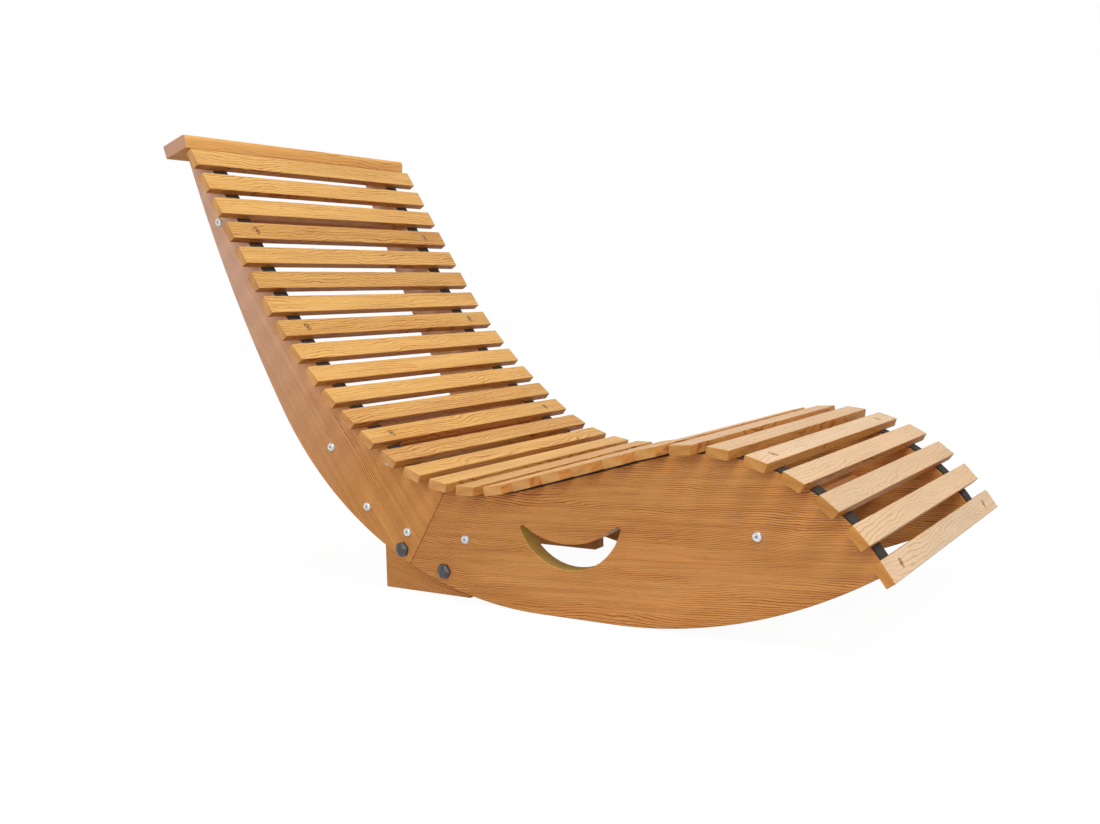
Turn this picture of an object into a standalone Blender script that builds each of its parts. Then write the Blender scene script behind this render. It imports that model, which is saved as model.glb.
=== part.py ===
"""Outdoor rocking lounger: slats on two webbing straps over two curved side frames.

Metres, +Z up. +X runs to the foot end, +Y to the sitter's left. The lounger stands on its
two runners and its two stop blocks, and the floor is at z = 0.
"""
import math

import bmesh
import bpy
from mathutils import Vector
from mathutils.geometry import intersect_line_line_2d, intersect_sphere_sphere_2d

for old in list(bpy.data.objects):
    bpy.data.objects.remove(old, do_unlink=True)

# Slats
WIDTH = 0.600
SLAT_WIDTH = 0.0338
SLAT_THICK = 0.0147
SLAT_EASE = 0.0015
BACK_SLATS = 13
SEAT_SLATS = 17
BACK_SPACING = 0.0509
SEAT_SPACING = 0.0539

# The slat line, under the slats, from the middle of the first slat down to the foot end
HEAD_HEIGHT = 0.735
BACK_LEAN = math.radians(58.4)
BACK_RUN = 0.2557
LUMBAR_RADIUS = 0.956
LUMBAR_TURN = math.radians(22.5)
SEAT_RADIUS = 0.3144
SEAT_TURN = math.radians(51.4)
THIGH_RUN = 0.2252
KNEE_RADIUS = 0.3043
KNEE_TURN = math.radians(70.6)

# Straps and side planks
STRAP_THICK = 0.0025
STRAP_WIDTH = 0.031
PLANK_THICK = 0.031
PLANK_INSET = 0.0465
PLANK_EASE = 0.0015
SEAM_SLAT = 15.77
SEAM_LEAN = math.radians(59.1)

# The planks' lower line, from the front of the runner to the top of the back
RUNNER_X = 0.672
RUNNER_FLAT = 0.128
RUNNER_FRONT_RADIUS = 0.7612
RUNNER_BACK_RADIUS = 0.6044
REAR_RADIUS = 2.525
PLANK_TOP = 0.0478

# Hand hole, a moon lying on its back
MOON_SLAT = 19.67
MOON_DEPTH = 0.062
MOON_CHORD = 0.184
MOON_TOP_SAG = 0.037
MOON_LOW_SAG = 0.077
MOON_TIP = 0.0045
MOON_TILT = math.radians(4.0)

# Headrest board
HEAD_DEPTH = 0.0527
HEAD_THICK = 0.0240
HEAD_TILT = math.radians(18.3)
HEAD_LEAN = math.radians(5.0)
HEAD_ROUND = 0.007
HEAD_GAP = 0.0087
HEAD_LIFT = 0.0046
HEAD_EASE = 0.0015

# Rails, joint plates and stop blocks
RAIL_WIDTH = 0.050
RAIL_THICK = 0.022
PLATE_THICK = 0.022
PLATE_MARGIN = 0.024
BLOCK_THICK = 0.034
BLOCK_LENGTH = 0.175
BLOCK_BACK = 0.078
BLOCK_TOP = 0.095

# Bolts. A cap bolt's place is the slat that it is under and its depth below the slat line. A hex bolt's
# place is its distance from the seam's foot along X and its height over the planks' lower line.
UPPER_RAIL_DEPTH = 0.0413
LOWER_RAIL_DEPTH = 0.0822
FRONT_RAIL_DEPTH = 0.0983
PLATE_TOP_DEPTH = 0.0274
PLATE_BACK_DEPTH = 0.1123
PLATE_MID_DEPTH = 0.1055
PLATE_SEAT_DEPTH = 0.0806
REAR_HEX_REACH = 0.0145
REAR_HEX_HEIGHT = 0.016
FRONT_HEX_REACH = 0.0705
FRONT_HEX_HEIGHT = 0.022
UPPER_RAIL_SPOT = (2.92, UPPER_RAIL_DEPTH)
LOWER_RAIL_SPOT = (11.58, LOWER_RAIL_DEPTH)
FRONT_RAIL_SPOT = (26.47, FRONT_RAIL_DEPTH)
PLATE_TOP_SPOT = (13.57, PLATE_TOP_DEPTH)
PLATE_BACK_SPOT = (13.61, PLATE_BACK_DEPTH)
PLATE_MID_SPOT = (14.87, PLATE_MID_DEPTH)
PLATE_SEAT_SPOT = (16.51, PLATE_SEAT_DEPTH)
REAR_HEX_SPOT = (-REAR_HEX_REACH, REAR_HEX_HEIGHT)
FRONT_HEX_SPOT = (FRONT_HEX_REACH, FRONT_HEX_HEIGHT)
CAP_RADIUS = 0.0078
CAP_HEIGHT = 0.0048
CAP_SHANK = 0.0040
CAP_GRIP = 0.018
HEX_RADIUS = 0.0130
HEX_HEIGHT = 0.0085
HEX_SHANK = 0.0050
HEX_GRIP = 0.024

# Clearance between touching pieces, and the longest facet of a curved edge
GAP = 0.0003
STEP = 0.018

SLATS = BACK_SLATS + SEAT_SLATS
OUTER_Y = WIDTH / 2 - PLANK_INSET
INNER_Y = OUTER_Y - PLANK_THICK
MID_Y = OUTER_Y - PLANK_THICK / 2
SLAT_LINE = (
    (BACK_RUN, 0.0),
    (LUMBAR_RADIUS * LUMBAR_TURN, 1 / LUMBAR_RADIUS),
    (SEAT_RADIUS * SEAT_TURN, 1 / SEAT_RADIUS),
    (THIGH_RUN, 0.0),
    (KNEE_RADIUS * KNEE_TURN, -1 / KNEE_RADIUS),
    (WIDTH, 0.0),
)


def slat_line(along):
    """Point and heading of the slat line at a length from the first slat, before it is centred."""
    x, z, heading = 0.0, HEAD_HEIGHT, -BACK_LEAN
    for length, bend in SLAT_LINE:
        run = min(along, length)
        if bend:
            turned = heading + bend * run
            x += (math.sin(turned) - math.sin(heading)) / bend
            z -= (math.cos(turned) - math.cos(heading)) / bend
            heading = turned
        else:
            x += run * math.cos(heading)
            z += run * math.sin(heading)
        along -= run
        if along <= 0:
            break
    return x, z, heading


def slat_place(number):
    """Length along the slat line of a slat, or of a place between two slats."""
    back = min(number, BACK_SLATS) - 1
    return back * BACK_SPACING + max(number - BACK_SLATS, 0) * SEAT_SPACING


def below(along, depth):
    """Point under the slat line, square to it."""
    x, z, heading = slat_line(along)
    return Vector((x + depth * math.sin(heading), z - depth * math.cos(heading)))


# The headrest board: its front lower corner and the directions of its underside, its height and its front
HEAD_CORNER = below(-SLAT_WIDTH / 2 - HEAD_GAP, -HEAD_LIFT)
HEAD_ALONG = Vector((math.cos(HEAD_TILT), math.sin(HEAD_TILT)))
HEAD_UP = Vector((-math.sin(HEAD_TILT), math.cos(HEAD_TILT)))
HEAD_FRONT = Vector((math.sin(HEAD_LEAN), math.cos(HEAD_LEAN)))

# The lounger is centred between the headrest's rear edge and the last slat's front edge.
REAR_EDGE = HEAD_CORNER - HEAD_DEPTH * HEAD_ALONG + HEAD_THICK * HEAD_UP
FRONT_EDGE = below(slat_place(SLATS) + SLAT_WIDTH / 2 - SLAT_EASE, -SLAT_THICK - GAP)
SHIFT = Vector((-(REAR_EDGE.x + FRONT_EDGE.x) / 2, 0.0))
HEAD_CORNER += SHIFT


def under(along, depth=0.0):
    """Point at a depth under the slat line, in the lounger's frame."""
    return below(along, depth) + SHIFT


def spot(place):
    """Point of a bolt given by its slat number and depth."""
    return under(slat_place(place[0]), place[1])


def arc(centre, radius, start, end, count):
    """Points round a centre from one angle to another, the first left out."""
    angles = (start + (end - start) * i / count for i in range(1, count + 1))
    return [centre + radius * Vector((math.cos(a), math.sin(a))) for a in angles]


def angle(direction):
    return math.atan2(direction.y, direction.x)


def steps(length):
    return max(2, math.ceil(length / STEP))


def upper_line(depth, start, end):
    """Points under the slat line from one length to another."""
    count = steps(end - start)
    return [under(start + (end - start) * i / count, depth) for i in range(count + 1)]


def lower_line():
    """Points of the planks' lower line, from the top of the back to the front of the runner.

    The rear arc passes through the planks' rear top corner and runs on from the runner's back arc
    without a kink, so the line between their hubs goes through the point where they meet.
    """
    down = math.radians(-90)
    flat = Vector((RUNNER_X, 0.0)) + SHIFT
    hub = flat + Vector((0.0, RUNNER_BACK_RADIUS))
    top = HEAD_CORNER - HEAD_ALONG * PLANK_TOP
    hubs = intersect_sphere_sphere_2d(hub, REAR_RADIUS - RUNNER_BACK_RADIUS, top, REAR_RADIUS)
    far_hub = max(hubs, key=lambda point: point.x)
    turn = angle(hub - far_hub)
    end = angle(top - far_hub)
    back = arc(hub, RUNNER_BACK_RADIUS, down, turn, steps(RUNNER_BACK_RADIUS * (down - turn)))
    rear = arc(far_hub, REAR_RADIUS, turn, end, steps(REAR_RADIUS * (turn - end)) // 2)
    toe = flat + Vector((RUNNER_FLAT, 0.0))
    swing = math.radians(45)
    front = arc(toe + Vector((0.0, RUNNER_FRONT_RADIUS)), RUNNER_FRONT_RADIUS, down, down + swing,
                steps(RUNNER_FRONT_RADIUS * swing))
    return (back + rear)[::-1] + [flat, toe] + front


def crossing(line, a, b):
    """Where a line of points first crosses the stretch from a to b: its segment and the point."""
    for i in range(len(line) - 1):
        point = intersect_line_line_2d(line[i], line[i + 1], a, b)
        if point:
            return i, point
    raise ValueError("the outlines do not meet")


def between(line, first, last):
    """The part of a line of points between two cuts, each a pair of points."""
    i, start = crossing(line, *first)
    j, end = crossing(line, *last)
    return [start] + line[i + 1:j + 1] + [end]


def along_cut(point, direction, move=0.0):
    """A long straight cut through a point, moved sideways by a small distance."""
    side = Vector((-direction.y, direction.x)) * move
    return point + side - direction, point + side + direction


# Collections and small helpers that make the objects
lounger = bpy.data.collections.new("rocking_lounger")
cutters = bpy.data.collections.new("cutters")
bpy.context.scene.collection.children.link(lounger)
bpy.context.scene.collection.children.link(cutters)


def material(name, colour, roughness, metallic=0.0):
    made = bpy.data.materials.new(name)
    made.use_nodes = True
    shader = made.node_tree.nodes["Principled BSDF"]
    shader.inputs["Base Color"].default_value = (*colour, 1.0)
    shader.inputs["Roughness"].default_value = roughness
    shader.inputs["Metallic"].default_value = metallic
    return made


SLAT_WOOD = material("slat_wood", (0.62, 0.33, 0.11), 0.55)
PLANK_WOOD = material("plank_wood", (0.50, 0.23, 0.075), 0.55)
INNER_WOOD = material("inner_wood", (0.42, 0.19, 0.06), 0.6)
WEBBING = material("webbing", (0.015, 0.015, 0.017), 0.8)
SILVER = material("silver", (0.75, 0.76, 0.78), 0.25, 1.0)
BLACK_STEEL = material("black_steel", (0.03, 0.03, 0.033), 0.45, 0.6)


def add(name, mesh, look=None):
    """A new object: a part of the lounger with its material, or a cutter without one."""
    made = bpy.data.objects.new(name, mesh)
    if look:
        lounger.objects.link(made)
        mesh.materials.append(look)
    else:
        cutters.objects.link(made)
        made.hide_render = True
        made.display_type = "WIRE"
    return made


def outline(name, points, thick, middle_y, look=None, ease=0.0):
    """A flat piece standing in the XZ plane: an outline given thickness along Y."""
    curve = bpy.data.curves.new(name, "CURVE")
    curve.dimensions = "2D"
    curve.fill_mode = "BOTH"
    curve.extrude = thick / 2 - ease
    curve.bevel_depth = ease
    curve.bevel_resolution = 0
    curve.offset = -ease
    spline = curve.splines.new("POLY")
    spline.points.add(len(points) - 1)
    for knot, point in zip(spline.points, points):
        knot.co = (point.x, point.y, 0.0, 1.0)
    spline.use_cyclic_u = True
    drawn = bpy.data.objects.new(name + "_outline", curve)
    cutters.objects.link(drawn)
    bpy.context.view_layer.update()
    graph = bpy.context.evaluated_depsgraph_get()
    mesh = bpy.data.meshes.new_from_object(drawn.evaluated_get(graph))
    mesh.materials.clear()
    bpy.data.objects.remove(drawn)
    shape = bmesh.new()
    shape.from_mesh(mesh)
    bmesh.ops.remove_doubles(shape, verts=shape.verts, dist=0.00002)
    bmesh.ops.dissolve_limit(shape, angle_limit=math.radians(0.05), verts=shape.verts, edges=shape.edges)
    bmesh.ops.recalc_face_normals(shape, faces=shape.faces)
    shape.to_mesh(mesh)
    shape.free()
    mesh.name = name
    made = add(name, mesh, look)
    made.location.y = middle_y
    made.rotation_euler.x = math.radians(90)
    return made


def bar(name, size, place, lean, look, ease):
    """A bar across the lounger, its section at a point of the XZ plane and leaning with it."""
    shape = bmesh.new()
    bmesh.ops.create_cube(shape, size=1.0)
    bmesh.ops.scale(shape, vec=size, verts=shape.verts)
    mesh = bpy.data.meshes.new(name)
    shape.to_mesh(mesh)
    shape.free()
    made = add(name, mesh, look)
    made.location = (place.x, 0.0, place.y)
    made.rotation_euler.y = -lean
    bevel = made.modifiers.new("ease", "BEVEL")
    bevel.width = ease
    bevel.segments = 1
    return made


def hole(name, point, radius, from_y, to_y):
    """A round cutter along Y."""
    shape = bmesh.new()
    bmesh.ops.create_cone(shape, cap_ends=True, segments=16, radius1=radius, radius2=radius,
                          depth=abs(to_y - from_y))
    mesh = bpy.data.meshes.new(name)
    shape.to_mesh(mesh)
    shape.free()
    made = add(name, mesh)
    made.location = (point.x, (from_y + to_y) / 2, point.y)
    made.rotation_euler.x = math.radians(90)
    return made


def cut(piece, *tools):
    for tool in tools:
        step = piece.modifiers.new("cut", "BOOLEAN")
        step.operation = "DIFFERENCE"
        step.solver = "EXACT"
        step.object = tool


def turned(name, profile, look):
    """A turned piece round Z from a profile of (radius, height) points, from its top down."""
    mesh = bpy.data.meshes.new(name)
    mesh.from_pydata([(r, 0.0, h) for r, h in profile], [(i, i + 1) for i in range(len(profile) - 1)], [])
    made = add(name, mesh, look)
    screw = made.modifiers.new("turn", "SCREW")
    screw.axis = "Z"
    screw.steps = 12
    screw.render_steps = 12
    screw.use_merge_vertices = True
    screw.merge_threshold = 0.00001
    return made


def face_side(piece, point, side, out):
    """Stand a piece made along Z on a plank's outer face, pointing away from the lounger."""
    piece.location = (point.x, side * out, point.y)
    piece.rotation_euler.x = math.radians(-90 * side)


# Slats and headrest board
for number in range(1, SLATS + 1):
    along = slat_place(number)
    heading = slat_line(along)[2]
    turn = slat_line(along + SLAT_WIDTH / 2)[2] - slat_line(along - SLAT_WIDTH / 2)[2]
    lift = GAP + max(0.0, turn) * SLAT_WIDTH / 8
    middle = under(along, -lift - SLAT_THICK / 2)
    size = (SLAT_WIDTH, WIDTH, SLAT_THICK)
    bar(f"slat_{number:02d}", size, middle, heading, SLAT_WOOD, SLAT_EASE)



def headrest():
    """The headrest's section: a steep front with a large round at its top corner."""
    corner = HEAD_CORNER + HEAD_FRONT * (HEAD_THICK / HEAD_FRONT.dot(HEAD_UP))
    reach = HEAD_ROUND / math.tan(math.acos(HEAD_FRONT.dot(HEAD_ALONG)) / 2)
    hub = corner - HEAD_ALONG * reach - HEAD_UP * HEAD_ROUND
    start = hub + HEAD_ROUND * Vector((HEAD_FRONT.y, -HEAD_FRONT.x))
    rear = HEAD_CORNER - HEAD_ALONG * HEAD_DEPTH
    rounding = arc(hub, HEAD_ROUND, -HEAD_LEAN, angle(HEAD_UP), 6)
    return [HEAD_CORNER, start] + rounding + [rear + HEAD_UP * HEAD_THICK, rear]


outline("headrest_board", headrest(), WIDTH, 0.0, SLAT_WOOD, HEAD_EASE)

# Outlines shared by both sides
LAST = slat_place(SLATS)
STRAP_TOP = upper_line(0.0, -SLAT_WIDTH / 2, LAST + SLAT_WIDTH / 4)
STRAP_LOW = upper_line(STRAP_THICK, -SLAT_WIDTH / 2, LAST + SLAT_WIDTH / 4)
EDGE = upper_line(STRAP_THICK + GAP, -2 * SLAT_WIDTH, LAST + 2 * SLAT_WIDTH)
LOWER = lower_line()
HEAD_CUT = along_cut(HEAD_CORNER, HEAD_ALONG, -GAP)
SEAM_DOWN = Vector((-math.cos(SEAM_LEAN), -math.sin(SEAM_LEAN)))
SEAM_POINT = under(slat_place(SEAM_SLAT))
BACK_CUT = along_cut(SEAM_POINT, SEAM_DOWN, -GAP / 2)
SEAT_CUT = along_cut(SEAM_POINT, SEAM_DOWN, GAP / 2)
SEAM_FOOT = crossing(LOWER, *BACK_CUT)[1]

# The planks' front tip, where the runner comes up to the upper edge
for TOE_CUT in zip(LOWER, LOWER[1:]):
    meets = [pair for pair in zip(EDGE, EDGE[1:]) if intersect_line_line_2d(*TOE_CUT, *pair)]
    if meets and TOE_CUT[0].x > SEAM_POINT.x:
        TIP_CUT = meets[0]
        break

BACK_OUTLINE = between(EDGE, HEAD_CUT, BACK_CUT) + between(LOWER, HEAD_CUT, BACK_CUT)[::-1]
SEAT_OUTLINE = between(EDGE, SEAT_CUT, TOE_CUT) + between(LOWER, SEAT_CUT, TIP_CUT)[::-1][1:]


def moon():
    """The hand hole: two arcs with round tips, on a chord that leans a little."""
    half = MOON_CHORD / 2
    top = (half ** 2 + MOON_TOP_SAG ** 2) / (2 * MOON_TOP_SAG)
    low = (half ** 2 + MOON_LOW_SAG ** 2) / (2 * MOON_LOW_SAG)
    top_hub = top - MOON_TOP_SAG
    low_hub = low - MOON_LOW_SAG
    # a tip's centre is a tip radius inside the lower arc and outside the upper one
    gap = top_hub - low_hub
    far = top + MOON_TIP
    near = low - MOON_TIP
    height = (near ** 2 - far ** 2 + gap ** 2) / (2 * gap)
    reach = math.sqrt(near ** 2 - height ** 2)
    tip = Vector((reach, low_hub + height))
    low_angle = math.atan2(height, reach)
    top_angle = math.atan2(tip.y - top_hub, reach)
    down = math.radians(-90)
    half_low = arc(Vector((0.0, low_hub)), low, down, low_angle, 9)
    round_tip = arc(tip, MOON_TIP, low_angle, top_angle + math.radians(180), 5)
    half_top = arc(Vector((0.0, top_hub)), top, top_angle, down, 7)
    right = half_low + round_tip + half_top
    left = [Vector((-p.x, p.y)) for p in right[:-1]][::-1]
    low_middle = Vector((0.0, low_hub - low))
    middle = under(slat_place(MOON_SLAT), MOON_DEPTH)
    ring = [low_middle] + right + left
    lean_x = Vector((math.cos(MOON_TILT), math.sin(MOON_TILT)))
    lean_y = Vector((-math.sin(MOON_TILT), math.cos(MOON_TILT)))
    return [middle + p.x * lean_x + p.y * lean_y for p in ring]


TOP_BOLT = spot(PLATE_TOP_SPOT)
BACK_BOLT = spot(PLATE_BACK_SPOT)
MID_BOLT = spot(PLATE_MID_SPOT)
SEAT_BOLT = spot(PLATE_SEAT_SPOT)
PLATE_FLOOR = BLOCK_TOP + GAP
PLATE_OUTLINE = [
    Vector((SEAT_BOLT.x + PLATE_MARGIN, PLATE_FLOOR)),
    Vector((SEAT_BOLT.x + PLATE_MARGIN, SEAT_BOLT.y + PLATE_MARGIN)),
    Vector((TOP_BOLT.x + PLATE_MARGIN, TOP_BOLT.y)),
    Vector((TOP_BOLT.x - PLATE_MARGIN / 2, TOP_BOLT.y + PLATE_MARGIN * 0.8)),
    Vector((BACK_BOLT.x - PLATE_MARGIN, BACK_BOLT.y + PLATE_MARGIN / 4)),
    Vector((MID_BOLT.x - 2 * PLATE_MARGIN, PLATE_FLOOR)),
]

# The stop block is a plain board end under the seam's foot, flat on the floor.
BLOCK_REAR = SEAM_FOOT.x - BLOCK_BACK
BLOCK_FRONT = BLOCK_REAR + BLOCK_LENGTH
BLOCK_OUTLINE = [
    Vector((BLOCK_REAR, 0.0)),
    Vector((BLOCK_FRONT, 0.0)),
    Vector((BLOCK_FRONT, BLOCK_TOP)),
    Vector((BLOCK_REAR, BLOCK_TOP)),
]
BLOCK_MIDDLE = INNER_Y - GAP - BLOCK_THICK / 2
PLATE_MIDDLE = INNER_Y - GAP - PLATE_THICK / 2

HEX_SPOTS = []
for reach, height in (REAR_HEX_SPOT, FRONT_HEX_SPOT):
    x = SEAM_FOOT.x + reach
    edge = crossing(LOWER, Vector((x, -WIDTH)), Vector((x, WIDTH)))[1]
    HEX_SPOTS.append(edge + Vector((0.0, height)))

CAP_ENDS = {
    "upper_rail_bolt": spot(UPPER_RAIL_SPOT),
    "lower_rail_bolt": spot(LOWER_RAIL_SPOT),
    "front_rail_bolt": spot(FRONT_RAIL_SPOT),
    "plate_back_bolt": BACK_BOLT,
    "plate_mid_bolt": MID_BOLT,
    "plate_seat_bolt": SEAT_BOLT,
}
BORE = GAP + CAP_SHANK
CAP_DEEP = OUTER_Y - PLANK_THICK - CAP_GRIP
CAP_PROFILE = [
    (0.0, CAP_HEIGHT * 0.55),
    (CAP_RADIUS * 0.34, CAP_HEIGHT * 0.55),
    (CAP_RADIUS * 0.34, CAP_HEIGHT),
    (CAP_RADIUS * 0.62, CAP_HEIGHT),
    (CAP_RADIUS * 0.84, CAP_HEIGHT * 0.75),
    (CAP_RADIUS * 0.97, CAP_HEIGHT * 0.40),
    (CAP_RADIUS, 0.0),
    (CAP_SHANK, 0.0),
    (CAP_SHANK, CAP_DEEP - OUTER_Y),
    (0.0, CAP_DEEP - OUTER_Y),
]

for side, hand in ((-1, "right"), (1, "left")):
    middle = side * MID_Y
    outline(f"{hand}_strap", STRAP_TOP + STRAP_LOW[::-1], STRAP_WIDTH, middle, WEBBING)
    back = outline(f"{hand}_back_plank", BACK_OUTLINE, PLANK_THICK, middle, PLANK_WOOD, PLANK_EASE)
    seat = outline(f"{hand}_seat_plank", SEAT_OUTLINE, PLANK_THICK, middle, PLANK_WOOD, PLANK_EASE)
    cut(seat, outline(f"{hand}_moon", moon(), 2 * PLANK_THICK, middle))
    middle = side * BLOCK_MIDDLE
    block = outline(f"{hand}_stop_block", BLOCK_OUTLINE, BLOCK_THICK, middle, PLANK_WOOD, PLANK_EASE)
    middle = side * PLATE_MIDDLE
    plate = outline(f"{hand}_joint_plate", PLATE_OUTLINE, PLATE_THICK, middle, INNER_WOOD, PLANK_EASE)
    for name, point in CAP_ENDS.items():
        bolt = turned(f"{hand}_{name}", CAP_PROFILE, SILVER)
        face_side(bolt, point, side, OUTER_Y + GAP)
        bore = hole(f"{hand}_{name}_bore", point, BORE, side * (OUTER_Y + 0.01), side * (CAP_DEEP - 0.002))
        cut(seat if name in ("front_rail_bolt", "plate_seat_bolt") else back, bore)
        if name.startswith("plate"):
            cut(plate, bore)
    for place, point in zip(("rear", "front"), HEX_SPOTS):
        deep = OUTER_Y - PLANK_THICK - HEX_GRIP
        shape = bmesh.new()
        bmesh.ops.create_cone(shape, cap_ends=True, segments=6, radius1=HEX_RADIUS, radius2=HEX_RADIUS,
                              depth=HEX_HEIGHT)
        bmesh.ops.translate(shape, vec=(0.0, 0.0, HEX_HEIGHT / 2), verts=shape.verts)
        rim = [e for e in shape.edges if all(v.co.z > HEX_HEIGHT / 2 for v in e.verts)]
        bmesh.ops.bevel(shape, geom=rim, offset=HEX_HEIGHT * 0.45, segments=2, profile=0.5, affect="EDGES")
        mesh = bpy.data.meshes.new(f"{hand}_{place}_block_bolt")
        shape.to_mesh(mesh)
        shape.free()
        bolt = add(f"{hand}_{place}_block_bolt", mesh, BLACK_STEEL)
        face_side(bolt, point, side, OUTER_Y + GAP)
        start = side * (OUTER_Y + HEX_HEIGHT / 2)
        shank = hole(f"{hand}_{place}_shank", point, HEX_SHANK, start, side * deep)
        union = bolt.modifiers.new("shank", "BOOLEAN")
        union.operation = "UNION"
        union.solver = "EXACT"
        union.object = shank
        bore = hole(f"{hand}_{place}_bore", point, HEX_SHANK + GAP, start, side * (deep - 0.002))
        cut(back if place == "rear" else seat, bore)
        cut(block, bore)

# Rails between the planks, each held by a cap bolt at both ends
RAIL_LENGTH = 2 * (INNER_Y - GAP)
RAILS = {"upper_rail": UPPER_RAIL_SPOT, "lower_rail": LOWER_RAIL_SPOT, "front_rail": FRONT_RAIL_SPOT}
for name, place in RAILS.items():
    lean = slat_line(slat_place(place[0]))[2]
    rail = bar(name, (RAIL_WIDTH, RAIL_LENGTH, RAIL_THICK), spot(place), lean, INNER_WOOD, PLANK_EASE)
    cut(rail, *(bpy.data.objects[f"{hand}_{name}_bolt_bore"] for hand in ("right", "left")))
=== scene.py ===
import math
import random
from collections import namedtuple

import bmesh
import bpy
import numpy as np
from mathutils import Matrix, Vector


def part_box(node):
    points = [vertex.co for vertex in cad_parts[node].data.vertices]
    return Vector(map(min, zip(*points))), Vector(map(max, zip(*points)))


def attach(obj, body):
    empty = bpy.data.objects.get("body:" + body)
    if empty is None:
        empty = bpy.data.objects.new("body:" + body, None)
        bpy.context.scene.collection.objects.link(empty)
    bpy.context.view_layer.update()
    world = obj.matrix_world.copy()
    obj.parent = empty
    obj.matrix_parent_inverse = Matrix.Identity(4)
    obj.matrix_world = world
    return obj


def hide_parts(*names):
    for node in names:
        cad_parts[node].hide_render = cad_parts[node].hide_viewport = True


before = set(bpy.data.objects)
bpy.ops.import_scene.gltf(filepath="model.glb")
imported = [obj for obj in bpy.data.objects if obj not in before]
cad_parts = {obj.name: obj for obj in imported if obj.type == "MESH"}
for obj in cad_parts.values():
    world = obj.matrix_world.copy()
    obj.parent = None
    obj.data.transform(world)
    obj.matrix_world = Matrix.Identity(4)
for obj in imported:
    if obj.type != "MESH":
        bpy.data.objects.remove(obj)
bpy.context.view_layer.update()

# Lengths are in metres. X runs to the foot end, Y to the left side and Z up.
SIDES = ("right", "left")
SLATS = [f"slat_{number:02d}" for number in range(1, 31)]
ACROSS = (0, 1, 0)
QUARTER_TURN = math.radians(90)


class Value:
    """A socket of a node tree. Sums on it add Math nodes."""

    def __init__(self, net, socket):
        self.net = net
        self.socket = socket

    def math(self, operation, *values):
        return self.net.node("ShaderNodeMath", {"operation": operation}, dict(enumerate(values)))

    def __add__(self, other):
        return self.math("ADD", self, other)

    def __radd__(self, other):
        return self.math("ADD", other, self)

    def __sub__(self, other):
        return self.math("SUBTRACT", self, other)

    def __rsub__(self, other):
        return self.math("SUBTRACT", other, self)

    def __mul__(self, other):
        return self.math("MULTIPLY", self, other)

    def __rmul__(self, other):
        return self.math("MULTIPLY", other, self)

    def __truediv__(self, other):
        return self.math("DIVIDE", self, other)

    def __pow__(self, other):
        return self.math("POWER", self, other)

    def fract(self):
        return self.math("FRACT", self)

    def sine(self):
        return self.math("SINE", self)

    def larger(self, other):
        return self.math("MAXIMUM", self, other)

    def swing(self, amount):
        """A noise between 0 and 1, turned into a swing to both sides of 0."""
        return (self - 0.5) * amount

    def ramp(self, low, high):
        """0 below low, 1 above high, and a soft step between."""
        return self.net.node("ShaderNodeMapRange", {"interpolation_type": "SMOOTHSTEP"},
                             {"Value": self, "From Min": low, "From Max": high})

    def parts(self):
        """The three numbers of a vector."""
        split = self.net.node("ShaderNodeSeparateXYZ", {}, {0: self})
        return [Value(self.net, socket) for socket in split.socket.node.outputs]


class Net:
    """A node tree that is written as expressions."""

    def __init__(self, tree):
        self.tree = tree

    def node(self, kind, settings, sockets, output=0):
        """A node with its settings and inputs. stops are a colour ramp's places and grey levels."""
        made = self.tree.nodes.new(kind)
        for key, value in settings.items():
            if key == "stops":
                knots = made.color_ramp.elements
                while len(knots) < len(value):
                    knots.new(1.0)
                for knot, (place, level) in zip(knots, value):
                    knot.position = place
                    knot.color = (level, level, level, 1.0)
            else:
                setattr(made, key, value)
        for key, value in sockets.items():
            self.feed(made.inputs[key], value)
        return Value(self, made.outputs[output]) if made.outputs else None

    def feed(self, socket, value):
        if isinstance(value, Value):
            self.tree.links.new(value.socket, socket)
        else:
            socket.default_value = value


class Look(Net):
    """A material with one Principled shader."""

    def __init__(self, name):
        self.material = bpy.data.materials.new(name)
        self.material.use_nodes = True
        super().__init__(self.material.node_tree)
        self.shader = self.tree.nodes["Principled BSDF"]

    def attribute(self, name):
        return self.node("ShaderNodeAttribute", {"attribute_name": name}, {}, "Vector")

    def noise(self, vector, scale, detail=2.0, output=0):
        """Noise with its own scale in each direction."""
        place = self.node("ShaderNodeVectorMath", {"operation": "MULTIPLY"}, {0: vector, 1: scale})
        return self.node("ShaderNodeTexNoise", {}, {"Vector": place, "Scale": 1.0, "Detail": detail}, output)

    def mix(self, share, a, b, blend="MIX"):
        """Two colours mixed. The node's colours are its inputs 6 and 7 and its output 2."""
        settings = {"data_type": "RGBA", "blend_type": blend}
        return self.node("ShaderNodeMix", settings, {0: share, 6: a, 7: b}, 2)

    def brightness(self, colour, level):
        return self.node("ShaderNodeVectorMath", {"operation": "SCALE"}, {0: colour, "Scale": level})

    def bump(self, height, strength, distance):
        return self.node("ShaderNodeBump", {}, {"Height": height, "Strength": strength, "Distance": distance})

    def finish(self, **sockets):
        """Feed the shader. Returns the material."""
        for key, value in sockets.items():
            self.feed(self.shader.inputs[key.replace("_", " ")], value)
        return self.material


def colour(red, green, blue):
    """A colour as read on a screen, 0 to 255, in the numbers that shaders use."""
    levels = [level / 255 for level in (red, green, blue)]
    return (*[v / 12.92 if v < 0.04045 else ((v + 0.055) / 1.055) ** 2.4 for v in levels], 1.0)


# Timber. How dark the wood is over one ring, with a thin line of late wood near the ring's end.
RING_STOPS = [(0.0, 0.6), (0.1, 0.05), (0.5, 0.0), (0.78, 0.14), (0.92, 1.0), (1.0, 0.6)]
# The finer rings' width as a share of the wide ones'
FINE_RING = 0.43
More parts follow.
